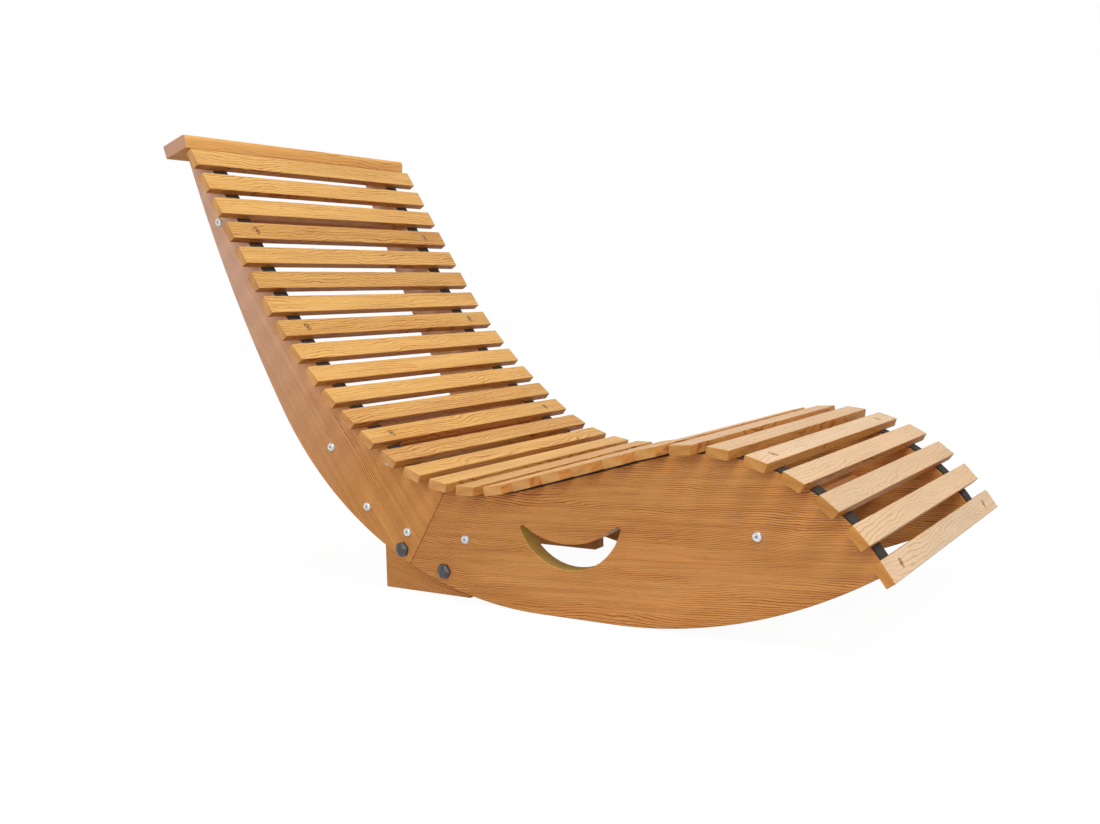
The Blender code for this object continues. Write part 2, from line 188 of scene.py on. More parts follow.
# Noises, in steps per metre along, across and into a board
DRIFT = 11.0
JAG = (32.0, 140.0, 140.0)
CLEAR = (5.0, 30.0, 30.0)
FIBRE = (16.0, 560.0, 560.0)
STREAK = (4.0, 130.0, 130.0)
PORES = (70.0, 1100.0, 1100.0)
BROAD = (3.0, 15.0, 15.0)
# Tints that the wood's colour is multiplied by
NO_TINT = (1.0, 1.0, 1.0, 1.0)
# Painted shade on the edge faces of planks, plates, blocks and rails
EDGE_SHADE_TINT = (0.92, 0.82, 0.74, 1.0)
HEAD_END_TINT = (0.80, 0.84, 1.9, 1.0)
# Painted shade on the wall of a hand hole, an olive tint
HOLLOW_TINT = (0.90, 1.42, 1.30, 1.0)


def wood(name, early, late, pale, side, butt, pale_butt, heart, ring, sway, line, wander=6.0):
    """Oiled timber. Rings lie round a heart beside the board, bent by a slow sway along the grain.

    early and late are its colours. pale is the colour that a pale face leans to: painted sheen on the slats
    and painted light on the rails. side is painted shade on its edge faces. butt and pale_butt tint its ends,
    pale_butt where a face is pale. ring is how wide a ring is, and line is how strongly it shows.

    Three marks on the mesh steer it. board holds a place along, across and into the board. tint holds the
    board's tone, how pale its face is and where an edge is worn, and below 0 painted shade in a screw hole.
    face tells the edge faces, the ends and the wall of a hole from the broad faces.
    """
    look = Look(name)
    board = look.attribute("board")
    tone, pale_sheen, wear_and_shade = look.attribute("tint").parts()
    edge, end, hollow = look.attribute("face").parts()

    def ring_lines(count):
        return look.node("ShaderNodeValToRGB", {"stops": RING_STOPS}, {0: count.fract()})

    # Rings, with finer ones that show more where the wide ones are faint, and few of both on end grain
    _, across, deep = board.parts()
    drift, drop, wave = look.noise(board, (wander, DRIFT, DRIFT), output="Color").parts()
    off = across + drift.swing(sway) + look.noise(board, JAG).swing(ring * 1.1) + heart[0]
    low = deep + drop.swing(sway) + heart[1]
    reach = (off * off + low * low) ** 0.5
    wide = ring_lines(reach / ring + wave * 1.2)
    fine = ring_lines(reach / (ring * FINE_RING) + drop * 2.0)
    clear = look.noise(board, CLEAR).ramp(0.32, 0.62)
    lines = (wide * (0.25 + 0.75 * clear) + fine * (0.4 - 0.2 * clear)) * (1.0 - 0.85 * end.larger(hollow))

    # Fibres, streaks, pores and broad clouds
    fibre = look.noise(board, FIBRE, 3.0)
    streak = look.noise(board, STREAK, 3.0)
    pores = look.noise(board, PORES, 1.0).ramp(0.60, 0.72)
    broad = look.noise(board, BROAD, 1.0)
    uneven = fibre.swing(0.5) + streak.swing(0.9) + broad.swing(0.6)

    # Colour from early to late wood, then painted sheen on pale faces, painted shade on edge faces, ends, and
    # painted shade on the wall of a hole
    share = lines * line + uneven * (1.0 - 0.6 * end) - tone * 0.3
    base = look.mix(share.ramp(-0.35, 1.3), early, late)
    sheen_colour = look.mix(share.ramp(-0.3, 1.3), pale, look.mix(0.5, pale, late))
    # Painted sheen: pale faces lean to the pale colour, but edge faces and ends do not
    base = look.mix(pale_sheen * (1.0 - edge.larger(end)), base, sheen_colour)
    # Painted shade on the edge faces
    base = look.mix(edge, base, side, "MULTIPLY")
    # Ends, tinted pale_butt where a face is pale
    base = look.mix(end, base, look.mix(pale_sheen, butt, pale_butt), "MULTIPLY")
    # Painted shade on the hand hole's wall
    base = look.mix(hollow, base, HOLLOW_TINT, "MULTIPLY")
    # Worn edges are lighter; below 0 the same mark is painted shade in a screw hole
    level = 1.0 + tone * 0.08 + broad.swing(0.30) - pores * 0.2 + wear_and_shade * 0.12
    height = fibre * 0.5 - lines * 0.25 - pores * 0.5
    return look.finish(Base_Color=look.brightness(base, level), Roughness=0.46 + fibre * 0.18 - wear_and_shade * 0.08,
                       Normal=look.bump(height, 0.25, 0.0005), Specular_IOR_Level=0.3)


# The slats' side tint is painted shade on their edge faces
SLAT_WOOD = wood(
    "slat_wood", early=colour(233, 184, 103), late=colour(164, 88, 12), pale=colour(219, 190, 154),
    side=(0.80, 0.62, 0.50, 1.0), butt=(1.08, 1.08, 1.50, 1.0), pale_butt=(0.87, 0.78, 0.72, 1.0),
    heart=(0.075, 0.020), ring=0.0050, sway=0.042, line=1.15)
HEAD_WOOD = wood(
    "head_wood", early=colour(240, 182, 104), late=colour(164, 92, 32), pale=colour(226, 176, 146),
    side=(0.9, 0.8, 0.8, 1.0), butt=HEAD_END_TINT, pale_butt=HEAD_END_TINT,
    heart=(0.08, 0.030), ring=0.0052, sway=0.030, line=0.6)
PLANK_WOOD = wood(
    "plank_wood", early=colour(230, 163, 91), late=colour(146, 70, 4), pale=colour(230, 184, 156),
    side=EDGE_SHADE_TINT, butt=NO_TINT, pale_butt=NO_TINT,
    heart=(0.20, 0.06), ring=0.0025, sway=0.050, line=1.60, wander=2.8)
INNER_WOOD = wood(
    "inner_wood", early=colour(222, 160, 104), late=colour(148, 86, 42), pale=colour(226, 176, 146),
    side=EDGE_SHADE_TINT, butt=NO_TINT, pale_butt=NO_TINT,
    heart=(0.04, 0.030), ring=0.0046, sway=0.034, line=0.7)

RIB_PITCH = 0.0022
YARN_PITCH = 0.0016


def webbing():
    """Charcoal strap: ribs across it, and two twisted yarns a rib.

    The mark strap holds a place along and across the strap.
    """
    look = Look("webbing")
    strap = look.attribute("strap")
    along, across, _ = strap.parts()
    rib = (along * (math.tau / RIB_PITCH)).sine()
    yarn = (across * (math.tau / YARN_PITCH) + along * (math.pi / RIB_PITCH)).sine()
    weave = rib * 0.5 + yarn * 0.35
    fuzz = look.noise(strap, (700.0, 700.0, 700.0))
    dust = look.noise(strap, (9.0, 40.0, 40.0))
    base = look.mix((weave * 0.35 + fuzz * 0.5).ramp(-0.2, 0.8), colour(40, 38, 36), colour(70, 67, 63))
    base = look.brightness(base, 0.8 + dust * 0.4)
    return look.finish(Base_Color=base, Roughness=0.72 + fuzz * 0.2,
                       Normal=look.bump(weave + fuzz * 0.5, 0.5, 0.0005), Specular_IOR_Level=0.3)


def metal(name, bright, dull, gloss, metallic, scratch):
    """Plated steel with fine turning marks, a little tarnish, and painted shade and a rougher finish in its
    recess.

    The mark head holds how far out a point is, 1 where it is sunk, and its turn round the head.
    """
    look = Look(name)
    head = look.attribute("head")
    place = look.node("ShaderNodeTexCoord", {}, {}, "Object")
    _, sunk, _ = head.parts()
    marks = look.noise(head, (9.0, 3.0, 0.6))
    tarnish = look.noise(place, (160.0, 160.0, 160.0), 3.0)
    grit = look.noise(place, (2600.0, 2600.0, 2600.0), 1.0)
    # Painted shade: sunk points lean to the dull colour, which also shows the tarnish
    base = look.mix((tarnish * 0.8 + marks * 0.4 + sunk * 0.6).ramp(0.35, 1.15), bright, dull)
    rough = gloss + tarnish.swing(0.2) + sunk * 0.2
    return look.finish(Base_Color=base, Roughness=rough, Metallic=metallic - tarnish * 0.1,
                       Normal=look.bump(marks * 0.6 + grit * 0.4, scratch, 0.0002))


WEBBING = webbing()
SILVER = metal("silver", bright=colour(234, 234, 234), dull=colour(150, 153, 157),
               gloss=0.30, metallic=0.80, scratch=0.10)
SCREW_STEEL = metal("screw_steel", bright=colour(198, 146, 90), dull=colour(72, 44, 24),
                    gloss=0.42, metallic=0.25, scratch=0.15)
BLACK_STEEL = metal("black_steel", bright=colour(82, 83, 88), dull=colour(26, 26, 30),
                    gloss=0.34, metallic=0.20, scratch=0.20)


class Maker(Net):
    """A Geometry Nodes tree with named inputs, run on a mesh of marked places."""

    def __init__(self, name):
        super().__init__(bpy.data.node_groups.new(name, "GeometryNodeTree"))
        self.tree.interface.new_socket("Places", in_out="INPUT", socket_type="NodeSocketGeometry")
        self.tree.interface.new_socket("Piece", in_out="OUTPUT", socket_type="NodeSocketGeometry")
        self.entry = self.tree.nodes.new("NodeGroupInput")
        self.exit = self.tree.nodes.new("NodeGroupOutput")

    def input(self, name, kind="Float"):
        self.tree.interface.new_socket(name, in_out="INPUT", socket_type="NodeSocket" + kind)
        return Value(self, self.entry.outputs[name])

    def places(self):
        return Value(self, self.entry.outputs["Places"])

    def read(self, name, kind="FLOAT_VECTOR"):
        return self.node("GeometryNodeInputNamedAttribute", {"data_type": kind}, {"Name": name})

    def store(self, geometry, name, value, kind="FLOAT_VECTOR"):
        return self.node("GeometryNodeStoreNamedAttribute", {"data_type": kind, "domain": "POINT"},
                         {"Geometry": geometry, "Name": name, "Value": value})

    def rectangle(self, width, height, rounding):
        """A rectangle with rounded corners, as a curve."""
        sharp = self.node("GeometryNodeCurvePrimitiveQuadrilateral", {"mode": "RECTANGLE"},
                          {0: width, 1: height})
        return self.node("GeometryNodeFilletCurve", {"mode": "POLY"},
                         {"Curve": sharp, "Radius": rounding, "Count": 3, "Limit Radius": True})

    def sweep(self, path, outline):
        return self.node("GeometryNodeCurveToMesh", {},
                         {"Curve": path, "Profile Curve": outline, "Fill Caps": True})

    def close(self, geometry, finish):
        """End the tree with one plain mesh in its material."""
        whole = self.node("GeometryNodeRealizeInstances", {}, {0: geometry})
        dressed = self.node("GeometryNodeSetMaterial", {}, {"Geometry": whole, "Material": finish})
        self.tree.links.new(dressed.socket, self.exit.inputs[0])

    def run(self, name, places, **sizes):
        """The finished piece as a plain mesh. Its places are removed."""
        step = places.modifiers.new("make", "NODES")
        step.node_group = self.tree
        for item in self.tree.interface.items_tree:
            if item.in_out == "INPUT" and item.name in sizes:
                step[item.identifier] = sizes[item.name]
        made = link(name, evaluated(places))
        bpy.data.objects.remove(places)
        return made


def link(name, mesh):
    """A mesh as an object in the scene."""
    made = bpy.data.objects.new(name, mesh)
    mesh.name = name
    bpy.context.scene.collection.objects.link(made)
    return made


def evaluated(obj):
    """A new mesh of an object with its modifiers applied."""
    bpy.context.view_layer.update()
    graph = bpy.context.evaluated_depsgraph_get()
    return bpy.data.meshes.new_from_object(obj.evaluated_get(graph))


def mark(mesh, name, rows):
    """Write a vector for each point of a mesh."""
    data = mesh.attributes.new(name, "FLOAT_VECTOR", "POINT").data
    data.foreach_set("vector", np.asarray(rows, dtype=np.float32).ravel())


def points_of(mesh):
    """The points of a mesh as rows of X, Y and Z."""
    flat = np.empty(len(mesh.vertices) * 3, dtype=np.float32)
    mesh.vertices.foreach_get("co", flat)
    return flat.reshape(-1, 3).astype(float)


def marked_places(name, spots, turns):
    """A mesh of loose points with a turn for each."""
    mesh = bpy.data.meshes.new(name)
    mesh.from_pydata([tuple(spot) for spot in spots], [], [])
    mark(mesh, "turn", turns)
    return link(name, mesh)


# A bar across the lounger. Its size is its width, its length across and its thickness.
Bar = namedtuple("Bar", "middle lean size")


def cad_bar(node):
    """A bar read from its CAD node."""
    rows = points_of(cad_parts[node].data)
    low, high = rows.min(axis=0), rows.max(axis=0)
    flat = np.unique(np.round(rows[:, [0, 2]], 6), axis=0)
    middle = (flat.min(axis=0) + flat.max(axis=0)) / 2
    # The width lies where the section's points spread most
    wide = np.linalg.eigh(np.cov((flat - flat.mean(axis=0)).T))[1][:, 1]
    if wide[0] < 0:
        wide = -wide
    lean = math.atan2(wide[1], wide[0])
    turned = (flat - middle) @ np.array([[wide[0], -wide[1]], [wide[1], wide[0]]])
    size = turned.max(axis=0) - turned.min(axis=0)
    place = Vector((middle[0], (low[1] + high[1]) / 2, middle[1]))
    return Bar(place, lean, (size[0], high[1] - low[1], size[1]))


def up_from(lean):
    """The direction away from the broad face of a bar with this lean."""
    return Vector((-math.sin(lean), 0.0, math.cos(lean)))


# How far a board may be shifted along, across and into its log
LOG_SHIFT = (9.0, 0.045, 0.008)
# The width over which a face's mark fades
FACE_FADE = 0.0012


class Board:
    """Grain directions, half size, place in the log and tint of one piece of timber."""

    def __init__(self, middle, along, deep, half, seed, tone=0.0, pale=0.0, pale_slope=0.0):
        along, deep = Vector(along).normalized(), Vector(deep).normalized()
        self.middle = np.array(middle)
        self.axes = np.array((along, deep.cross(along), deep))
        self.half = np.array(half)
        self.tint = (tone, pale, pale_slope)
        dice = random.Random(seed)
        self.shift = np.array([dice.uniform(-far, far) for far in LOG_SHIFT])

    def local(self, rows):
        return (rows - self.middle) @ self.axes.T


def bar_board(bar, seed, tone=0.0, pale=0.0):
    """The board of a bar across the lounger."""
    wide, long, thick = bar.size
    return Board(bar.middle, ACROSS, up_from(bar.lean), (long / 2, wide / 2, thick / 2), seed, tone, pale)


def grain(obj, boards, wear_and_shade, hollow=0.0):
    """Give every point its place in the board that it belongs to, that board's tint and the face it is on."""
    rows = points_of(obj.data)
    local = np.array([board.local(rows) for board in boards])
    reach = np.array([np.abs(part / board.half).max(axis=1) for part, board in zip(local, boards)])
    owner = reach.argmin(axis=0)
    local = local[owner, np.arange(len(rows))]
    half = np.array([board.half for board in boards])[owner]
    shift = np.array([board.shift for board in boards])[owner]
    tone, pale, pale_slope = np.array([board.tint for board in boards])[owner].T
    edge = np.clip((half[:, 2] - np.abs(local[:, 2])) / FACE_FADE, 0.0, 1.0)
    end = np.clip((np.abs(local[:, 0]) - half[:, 0]) / FACE_FADE + 1.0, 0.0, 1.0)
    mark(obj.data, "board", local + shift)
    mark(obj.data, "tint", np.column_stack((tone, pale + pale_slope * local[:, 0], wear_and_shade)))
    mark(obj.data, "face", np.column_stack((edge, end, hollow * edge)))


# Corners sharper than this stay sharp in the shading, and large faces count this much more than small ones
SHADED_CORNER = math.radians(50.0)
FLAT_FACE_WEIGHT = 80


def smooth(obj):
    """Smooth shading with sharp corners kept and large faces kept flat."""
    obj.data.shade_smooth()
    obj.data.set_sharp_from_angle(angle=SHADED_CORNER)
    step = obj.modifiers.new("flat faces", "WEIGHTED_NORMAL")
    step.keep_sharp = True
    step.weight = FLAT_FACE_WEIGHT
    mesh = evaluated(obj)
    obj.modifiers.clear()
    obj.data = mesh


def dress(obj, slot, *nodes):
    """Attach a piece to the root body and hide the CAD nodes that it replaces. The seat rail's name has no
    node.
    """
    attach(obj, "root")
    known = [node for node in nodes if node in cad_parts]
    if known:
        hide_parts(*known)


def dress_timber(obj, look, slot, *nodes):
    """Smooth a piece of timber, give it its wood, attach it to the root body and hide the CAD nodes it
    replaces.
    """
    smooth(obj)
    obj.data.materials.clear()
    obj.data.materials.append(look)
    dress(obj, slot, *nodes)


# Points nearer than these are one point, in a CAD copy and in a finished shape
CAD_MERGE = 0.00002
CLEAN_MERGE = 0.00006
# Faces that differ by less than this are one flat face
FLAT = math.radians(0.3)
# Edges sharper than this can be rounded
ROUNDED_CORNER = math.radians(60.0)


def sharp_edges(shape):
    """The edges of a shape that are sharp enough to be rounded."""
    return [e for e in shape.edges if len(e.link_faces) == 2 and e.calc_face_angle() > ROUNDED_CORNER]


def rounded(shape, edges, width, segments):
    """Round the edges of a shape. Returns the points on the roundings."""
    made = bmesh.ops.bevel(shape, geom=edges, offset=width, segments=segments, profile=0.5, affect="EDGES",
                           clamp_overlap=True)
    fresh = set(made["faces"])
    return [v for v in shape.verts if all(face in fresh for face in v.link_faces)]


def from_shape(name, shape, wear_and_shade=()):
    """An object from a shape, with 1 for each worn point and 0 for the rest."""
    wear_and_shade = set(wear_and_shade)
    wear = np.array([1.0 if v in wear_and_shade else 0.0 for v in shape.verts])
    mesh = bpy.data.meshes.new(name)
    shape.to_mesh(mesh)
    shape.free()
    return link(name, mesh), wear


def clean(shape):
    """Merge points that lie on each other and drop faces without area."""
    bmesh.ops.remove_doubles(shape, verts=shape.verts, dist=CLEAN_MERGE)
    bmesh.ops.dissolve_degenerate(shape, dist=CLEAN_MERGE, edges=shape.edges)


def put_in_order(elements, place):
    """Sort points or faces by their places, so that every run makes the same mesh."""
    rank = {e: i for i, e in enumerate(sorted(elements, key=place))}
    elements.sort(key=rank.get)


def merged_copy(node):
    """A copy of a CAD node's mesh, merged, with its flat faces made whole again."""
    shape = bmesh.new()
    shape.from_mesh(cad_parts[node].data)
    bmesh.ops.remove_doubles(shape, verts=shape.verts, dist=CAD_MERGE)
    bmesh.ops.dissolve_limit(shape, angle_limit=FLAT, verts=shape.verts, edges=shape.edges)
    return shape


# A face whose normal squared is above this along a slat is its end
END_FACING = 0.9
# A strap's edges are rounded by this share of its thickness
STRAP_ROUNDING = 0.45
# The bottom of a socket is narrower than its mouth
SOCKET_TAPER = 0.94


def slat_maker():
    """Slats with rounded edges and eased ends, set out on the places."""
    tree = Maker("slat_maker")
    width, length, thick = tree.input("Width"), tree.input("Length"), tree.input("Thickness")
    rounding, ease = tree.input("Rounding"), tree.input("End ease")
    finish = tree.input("Finish", "Material")
    outline = tree.rectangle(width, thick, rounding)
    reach = length / 2 - ease
    start, stop = [tree.node("ShaderNodeCombineXYZ", {}, {"Z": side * reach}) for side in (-1, 1)]
    path = tree.node("GeometryNodeCurvePrimitiveLine", {"mode": "POINTS"}, {"Start": start, "End": stop})
    slat = tree.sweep(path, outline)
    lengthwise = tree.node("GeometryNodeInputNormal", {}, {}).parts()[2]
    cap = tree.node("FunctionNodeCompare", {"data_type": "FLOAT", "operation": "GREATER_THAN"},
                    {0: lengthwise * lengthwise, 1: END_FACING})
    slat = tree.node("GeometryNodeExtrudeMesh", {"mode": "FACES"},
                     {"Mesh": slat, "Selection": cap, "Offset Scale": ease, "Individual": False})
    slat = tree.node("GeometryNodeScaleElements", {"domain": "FACE"},
                     {"Geometry": slat, "Selection": cap, "Scale": 1.0 - ease * 2.0 / width})
    rows = tree.node("GeometryNodeInstanceOnPoints", {},
                     {"Points": tree.places(), "Instance": slat, "Rotation": tree.read("turn")})
    tree.close(rows, finish)
    return tree


def fastener_maker():
    """Heads of one pattern set out on the places, each rolled by a different amount."""
    tree = Maker("fastener_maker")
    pattern, radius, height = tree.input("Pattern", "Object"), tree.input("Radius"), tree.input("Height")
    roll, seed = tree.input("Roll"), tree.input("Seed", "Int")
    finish = tree.input("Finish", "Material")
    head = tree.node("GeometryNodeObjectInfo", {}, {"Object": pattern}, "Geometry")
    size = tree.node("ShaderNodeCombineXYZ", {}, {"X": radius, "Y": radius, "Z": height})
    rolled = tree.node("FunctionNodeRandomValue", {"data_type": "FLOAT"},
                       {"Min": 0.0, "Max": roll, "Seed": seed}, 1)
    spin = tree.node("ShaderNodeCombineXYZ", {}, {"Z": rolled})
    heads = tree.node("GeometryNodeInstanceOnPoints", {},
                      {"Points": tree.places(), "Instance": head, "Rotation": tree.read("turn"),
                       "Scale": size})
    heads = tree.node("GeometryNodeRotateInstances", {}, {"Instances": heads, "Rotation": spin})
    tree.close(heads, finish)
    return tree


def strap_maker():
    """A strap with rounded edges along a path, marked for its weave."""
    tree = Maker("strap_maker")
    width, thick, step = tree.input("Width"), tree.input("Thickness"), tree.input("Step")
    finish = tree.input("Finish", "Material")
    path = tree.node("GeometryNodeMeshToCurve", {}, {0: tree.places()})
    path = tree.node("GeometryNodeCurveSplineType", {"spline_type": "CATMULL_ROM"}, {"Curve": path})
    path = tree.node("GeometryNodeResampleCurve", {"mode": "LENGTH"}, {"Curve": path, "Length": step})
    path = tree.node("GeometryNodeSetCurveNormal", {"mode": "Z_UP"}, {"Curve": path})
    run = tree.node("GeometryNodeSplineParameter", {}, {}, "Length")
    path = tree.store(path, "run", run, "FLOAT")
    spot = tree.node("GeometryNodeInputPosition", {}, {})
    outline = tree.store(tree.rectangle(width, thick, thick * STRAP_ROUNDING), "lane", spot)
    strap = tree.sweep(path, outline)
    lane = tree.read("lane").parts()
    weave = tree.node("ShaderNodeCombineXYZ", {}, {0: tree.read("run", "FLOAT"), 1: lane[0], 2: lane[1]})
    tree.close(tree.store(strap, "strap", weave), finish)
    return tree


def polygon_reach(turn, sides):
    """How far a polygon's side is from its middle at a turn, with its corners at 1."""
    step = math.tau / sides
    return math.cos(step / 2) / math.cos(turn % step - step / 2)


def head_pattern(name, outline, count, sides=0, socket=None, depth=0.0, sharp=38.0):
    """A head round Z from (radius, height) points, top first.

    It is turned, or has flat sides. A socket is its number of sides and its reach. sharp is the angle in
    degrees above which a corner stays sharp.
    """
    turns = [math.tau * i / count for i in range(count)]
    shape = bmesh.new()

    def ring(radius, height, flats):
        made = []
        for turn in turns:
            reach = radius * (polygon_reach(turn, flats) if flats else 1.0)
            made.append(shape.verts.new((reach * math.cos(turn), reach * math.sin(turn), height)))
        return made

    rings = [ring(radius, height, sides) for radius, height in outline]
    if socket:
        key_sides, key_reach = socket
        top = outline[0][1]
        bottom = ring(key_reach * SOCKET_TAPER, top - depth, key_sides)
        rings = [bottom, ring(key_reach, top, key_sides)] + rings
    for upper, lower in zip(rings, rings[1:]):
        for i in range(count):
            j = (i + 1) % count
            shape.faces.new((upper[i], lower[i], lower[j], upper[j]))
    ends = [shape.faces.new(rings[0]), shape.faces.new(rings[-1][::-1])]
    middles = bmesh.ops.poke(shape, faces=ends)["verts"]
    bmesh.ops.recalc_face_normals(shape, faces=shape.faces)
    sunk = {*rings[0], max(middles, key=lambda v: v.co.z)} if socket else set()
    rows = [(v.co.xy.length, 1.0 if v in sunk else 0.0, math.atan2(v.co.y, v.co.x)) for v in shape.verts]
    made, _ = from_shape(name, shape)
    mark(made.data, "head", rows)
    made.data.shade_smooth()
    made.data.set_sharp_from_angle(angle=math.radians(sharp))
    made.hide_render = True
    return made


# Slats: one rounded slat set out on the thirty places. It is made along Z, so it is laid across first.
SLAT_ROUNDING = 0.0013
SLAT_END_EASE = 0.0010

slat_bars = [cad_bar(node) for node in SLATS]
lying = Matrix.Rotation(-QUARTER_TURN, 3, "X")
slat_turns = [tuple((Matrix.Rotation(-bar.lean, 3, "Y") @ lying).to_euler()) for bar in slat_bars]
slat_places = marked_places("slat_places", [bar.middle for bar in slat_bars], slat_turns)
slat_width, slat_length, slat_thickness = slat_bars[0].size
slats = slat_maker().run("slats", slat_places, Width=slat_width, Length=slat_length, Thickness=slat_thickness,
                         Rounding=SLAT_ROUNDING, Finish=SLAT_WOOD, **{"End ease": SLAT_END_EASE})

# Screws: countersunk holes in every fourth or fifth slat, and their heads just under the surface.
# An outline is in shares of the radius and the height. Roll is the largest roll in radians.
SCREWED_SLATS = (4, 8, 13, 18, 22, 26, 30)
SCREW_Y = 0.2385
SCREW_SUNK = 0.0008
SCREW_SIZE = {"Radius": 0.0064, "Height": 0.0034, "Roll": 1.5, "Seed": 4}
SCREW_OUTLINE = [(0.62, 0.0), (0.84, -0.04), (0.93, -0.16), (0.86, -0.5), (0.55, -0.95)]
HOLE_SIZE = {"Radius": 0.0082, "Height": 0.0050, "Roll": 0.0, "Seed": 1}
HOLE_OUTLINE = [(0.6, 1.0), (1.02, 1.0), (0.96, 0.0), (0.55, -1.0), (0.3, -1.0)]
# Points this deep under a slat's face and this near to a screw are in its hole. Painted shade darkens them,
# carried as wear below 0.
HOLE_DEPTH = (0.0003, 0.006)
HOLE_REACH = 0.010
HOLE_SHADE = -7.0
# Steps round a turned head and round a hex head
ROUND_STEPS = 24
HEX_STEPS = 48

fasteners = fastener_maker()
screw_tops = []
screw_leans = []
for number in SCREWED_SLATS:
    bar = slat_bars[number - 1]
    face = bar.middle + up_from(bar.lean) * bar.size[2] / 2
    for sign in (-1, 1):
        screw_tops.append(face + Vector((0, sign * SCREW_Y, 0)))
        screw_leans.append(bar.lean)
screw_turns = [(0, -lean, 0) for lean in screw_leans]


def bore(obj, cutters):
    """Cut the cutters out of an object and clean up the cut."""
    step = obj.modifiers.new("bore", "BOOLEAN")
    step.operation = "DIFFERENCE"
    step.solver = "EXACT"
    step.object = cutters
    mesh = evaluated(obj)
    obj.modifiers.clear()
    shape = bmesh.new()
    shape.from_mesh(mesh)
    clean(shape)
    shape.to_mesh(mesh)
    shape.free()
    obj.data = mesh
    bpy.data.objects.remove(cutters)


def in_screw_holes(rows):
    """1 for each point in a screw hole and 0 for the rest."""
    inside = np.zeros(len(rows))
    for top, lean in zip(screw_tops, screw_leans):
        up = np.array(up_from(lean))
        depth = (np.array(top) - rows) @ up
        aside = np.linalg.norm(rows - np.array(top) + depth[:, None] * up, axis=1)
        inside[(depth > HOLE_DEPTH[0]) & (depth < HOLE_DEPTH[1]) & (aside < HOLE_REACH)] = 1.0
    return inside


hole_pattern = head_pattern("hole_pattern", HOLE_OUTLINE, ROUND_STEPS)
hole_places = marked_places("hole_places", screw_tops, screw_turns)
bore(slats, fasteners.run("screw_holes", hole_places, Pattern=hole_pattern, Finish=SLAT_WOOD, **HOLE_SIZE))

# The slats' tones vary a little and five are darker. A painted sheen makes their faces paler toward the foot
# end.
SLAT_TONES = 0.25
DARK_SLATS = (4, 6, 8, 12, 14)
DARK_TONE = 0.55
SHEEN_AFTER = 15
SHEEN_RUN = 11.0
LAST_SHEEN = 1.25
TONE_SEED = 12

dice = random.Random(TONE_SEED)
slat_boards = []
for number, bar in enumerate(slat_bars, 1):
    tone = dice.uniform(-SLAT_TONES, SLAT_TONES) - (DARK_TONE if number in DARK_SLATS else 0.0)
    # Painted sheen, from none to full toward the foot end
    pale = min(1.0, max(0.0, (number - SHEEN_AFTER) / SHEEN_RUN)) if number < len(SLATS) else LAST_SHEEN
    slat_boards.append(bar_board(bar, number, tone, pale))
# Painted shade in the screw holes, carried as wear below 0
grain(slats, slat_boards, HOLE_SHADE * in_screw_holes(points_of(slats.data)))
dress_timber(slats, SLAT_WOOD, "slat_wood", *SLATS)

screw_pattern = head_pattern("screw_pattern", SCREW_OUTLINE, ROUND_STEPS, socket=(4, 0.42), depth=0.5)
sunk_tops = [top - SCREW_SUNK * up_from(lean) for top, lean in zip(screw_tops, screw_leans)]
screws = fasteners.run("slat_screws", marked_places("screw_places", sunk_tops, screw_turns),
                       Pattern=screw_pattern, Finish=SCREW_STEEL, **SCREW_SIZE)
dress(screws, "silver")

# Rails. The seat rail is between the joint plates, where the uppermost bolt of the seam goes through.
# PLATE_TOP is that bolt's X and Z.
PLATE_TOP = (-0.1980, 0.2219)
RAIL_ROUNDING = 0.003
RAIL_STEPS = 4
# Painted light: the rails are paler, the upper rail most
RAIL_PAINTED_LIGHT = {"upper_rail": 0.7, "lower_rail": 0.3, "front_rail": 0.0, "seat_rail": 0.0}
RAIL_SEED = 61


def bar_piece(name, bar):
    """A bar across the lounger with rounded edges. Returns the object and its worn points."""
    shape = bmesh.new()
    bmesh.ops.create_cube(shape, size=1.0)
    bmesh.ops.scale(shape, vec=bar.size, verts=shape.verts)
    wear_and_shade = rounded(shape, sharp_edges(shape), RAIL_ROUNDING, RAIL_STEPS)
    place = Matrix.Translation(bar.middle) @ Matrix.Rotation(-bar.lean, 4, "Y")
    bmesh.ops.transform(shape, matrix=place, verts=shape.verts)
    return from_shape(name, shape, wear_and_shade)


rails = {node: cad_bar(node) for node in ("upper_rail", "lower_rail", "front_rail")}
rail_width, _, rail_thickness = rails["lower_rail"].size
rails["seat_rail"] = Bar(Vector((PLATE_TOP[0], 0.0, PLATE_TOP[1])),
                         (slat_bars[12].lean + slat_bars[13].lean) / 2,
                         (rail_width, -2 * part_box("right_joint_plate")[1][1], rail_thickness))
for seed, (node, bar) in enumerate(rails.items(), RAIL_SEED):
    rail, wear_and_shade = bar_piece(node + "_piece", bar)
    grain(rail, [bar_board(bar, seed, pale=RAIL_PAINTED_LIGHT[node])], wear_and_shade)
    dress_timber(rail, INNER_WOOD, "inner_wood", node)

# The hand hole of a seat plank: its middle and half its size in X and Z
HAND_HOLE_MIDDLE = (0.1456, 0.1113)
HAND_HOLE_HALF = (0.092, 0.042)
# Trim: how a chamfer's face leans, its least run in Y and how far it is made to bulge. Corners as long as
# CORNER_LEAST in Y are rounded.
CHAMFER_LEAN = (0.3, 0.95)
CHAMFER_RUN = 0.0005
CHAMFER_BULGE = 0.0003
CORNER_LEAST = 0.015
CORNER_ROUNDING = 0.0012
CORNER_STEPS = 3


def by_hand_hole(node, places):
    """Which places of a node are on its hand hole's rim or wall. Only the seat planks have one."""
    near = np.abs(np.array(places)[:, [0, 2]] - HAND_HOLE_MIDDLE) < HAND_HOLE_HALF
    return near.all(axis=1) & node.endswith("seat_plank")


